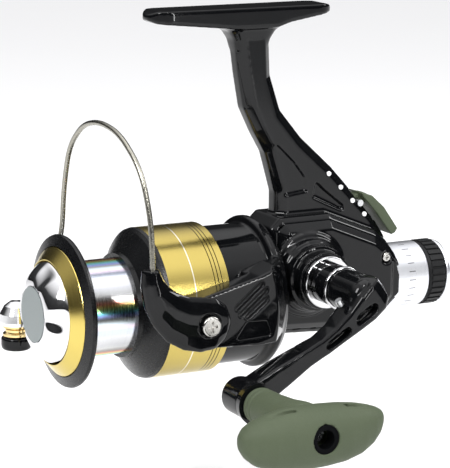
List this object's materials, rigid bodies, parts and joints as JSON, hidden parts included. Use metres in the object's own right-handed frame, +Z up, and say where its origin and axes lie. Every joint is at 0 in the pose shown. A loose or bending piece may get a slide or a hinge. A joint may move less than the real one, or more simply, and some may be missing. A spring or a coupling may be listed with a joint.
{
  "type": "spinning reel",
  "caption": "Fixed-spool fishing reel with front drag cap, rear bait-feeder drag and lever, wire bail, line roller, cranked handle with T-shaped grip and rod foot.",
  "frame": {"origin": "centre of the rod foot's flat top face", "axes": "+Z up out of the foot's top, -Y towards the spool's front, +X towards the handle side"},
  "size_m": [0.1495, 0.1658, 0.1367],
  "materials": {
    "gloss_black": "high-gloss black lacquer",
    "satin_black": "satin black anodised look",
    "black_metal": "gloss black enamel on metal",
    "matte_black": "matte ribbed",
    "dark_plastic": "matte dark",
    "satin_silver": "satin turned",
    "gold_anodised": "brushed gold anodised",
    "prism_film": "iridescent silver film",
    "chrome_plate": "polished chrome",
    "bright_ring": "polished trim ring",
    "grey_disc": "satin grey",
    "plated_screw": "nickel-plated",
    "bearing_steel": "ground steel",
    "wire_steel": "polished stainless wire",
    "zinc_gear": "cast zinc alloy",
    "brass_gear": "machined brass",
    "olive_rubber": "matte soft-touch",
    "olive_plastic": "matte moulded",
    "white_enamel": "white dots"
  },
  "bodies": {
    "frame": {"body_frame": "gloss_black", "side_cover": "gloss_black", "case_screws": "plated_screw", "stem_studs": "white_enamel", "front_bearing": "bearing_steel", "one_way_clutch": "bearing_steel", "shaft_bearing_near": "bearing_steel", "shaft_bearing_far": "bearing_steel", "stroke_axle": "bearing_steel", "guide_rod": "bearing_steel", "lever_pin": "bearing_steel", "rear_drag_ring": "satin_silver", "bait_spindle": "bearing_steel", "bait_washers": "bearing_steel"},
    "crank": {"drive_gear": "zinc_gear", "handle_shaft": "bearing_steel", "stroke_pinion": "zinc_gear", "handle_sleeve": "gloss_black", "sleeve_rings": "bright_ring", "handle_cap": "gloss_black", "crank_arm": "black_metal", "fold_pins": "bearing_steel", "knob_spindle": "bearing_steel"},
    "grip": {"knob_collar": "black_metal", "knob": "olive_rubber", "knob_plug": "dark_plastic"},
    "stroke_wheel": {"stroke_gear": "zinc_gear"},
    "rotor": {"pinion": "brass_gear", "rotor": "gloss_black", "rotor_nut": "bearing_steel", "arm_cover_near": "gloss_black", "arm_cover_far": "gloss_black", "pivot_screws": "plated_screw"},
    "bail": {"bail_arm_near": "gloss_black", "bail_arm_far": "gloss_black", "bail_wire": "wire_steel", "wire_cone": "chrome_plate", "roller_axle": "bearing_steel"},
    "roller": {"line_roller": "brass_gear"},
    "spool_shaft": {"main_shaft": "bearing_steel", "stroke_block": "zinc_gear", "click_ratchet": "dark_plastic"},
    "spool": {"spool_core": "satin_black", "arbor_band": "prism_film", "skirt_sleeve": "gold_anodised", "spool_lip": "satin_black", "lip_bevel": "gold_anodised", "drag_washers": "dark_plastic"},
    "front_drag": {"drag_knob": "chrome_plate", "drag_knob_disc": "grey_disc", "drag_knob_nut": "brass_gear"},
    "bait_switch": {"bait_lever": "olive_plastic"},
    "rear_drag": {"rear_drag_knob": "matte_black", "rear_knob_cap": "satin_silver"}
  },
  "joints": [
    {"name": "handle_spin", "type": "hinge", "parent": "frame", "child": "crank", "pos_m": [0, 0.02205, -0.0962], "axis": [1, 0, 0], "continuous": true},
    {"name": "knob_spin", "type": "hinge", "parent": "crank", "child": "grip", "pos_m": [0.08, -0.0229, -0.1275], "axis": [1, 0, 0], "continuous": true},
    {"name": "stroke_spin", "type": "hinge", "parent": "frame", "child": "stroke_wheel", "pos_m": [-0.008, 0.036, -0.1045], "axis": [1, 0, 0], "continuous": true},
    {"name": "rotor_spin", "type": "hinge", "parent": "frame", "child": "rotor", "pos_m": [0, 0, -0.1035], "axis": [0, 1, 0], "continuous": true},
    {"name": "bail_swing", "type": "hinge", "parent": "rotor", "child": "bail", "pos_m": [0, -0.03095, -0.1038], "axis": [1, 0, 0], "range_deg": [0, 100]},
    {"name": "roller_spin", "type": "hinge", "parent": "bail", "child": "roller", "pos_m": [-0.036, -0.0706, -0.1179], "axis": [0, 0, 1], "continuous": true},
    {"name": "spool_travel", "type": "slide", "parent": "frame", "child": "spool_shaft", "axis": [0, -1, 0], "range_m": [-0.004, 0.012]},
    {"name": "spool_slip", "type": "hinge", "parent": "spool_shaft", "child": "spool", "pos_m": [0, -0.05, -0.1035], "axis": [0, 1, 0], "continuous": true},
    {"name": "front_drag_turn", "type": "hinge", "parent": "spool_shaft", "child": "front_drag", "pos_m": [0, -0.074, -0.1035], "axis": [0, 1, 0], "range_deg": [-360, 360]},
    {"name": "bait_switch_tilt", "type": "hinge", "parent": "frame", "child": "bait_switch", "pos_m": [0, 0.0488, -0.0739], "axis": [1, 0, 0], "range_deg": [0, 20]},
    {"name": "rear_drag_turn", "type": "hinge", "parent": "frame", "child": "rear_drag", "pos_m": [0, 0.078, -0.1035], "axis": [0, 1, 0], "range_deg": [-180, 180]}
  ],
  "couplings": [
    {"joint": "rotor_spin", "follows": "handle_spin", "ratio": 4.2},
    {"joint": "stroke_spin", "follows": "handle_spin", "ratio": -0.42857}
  ]
}
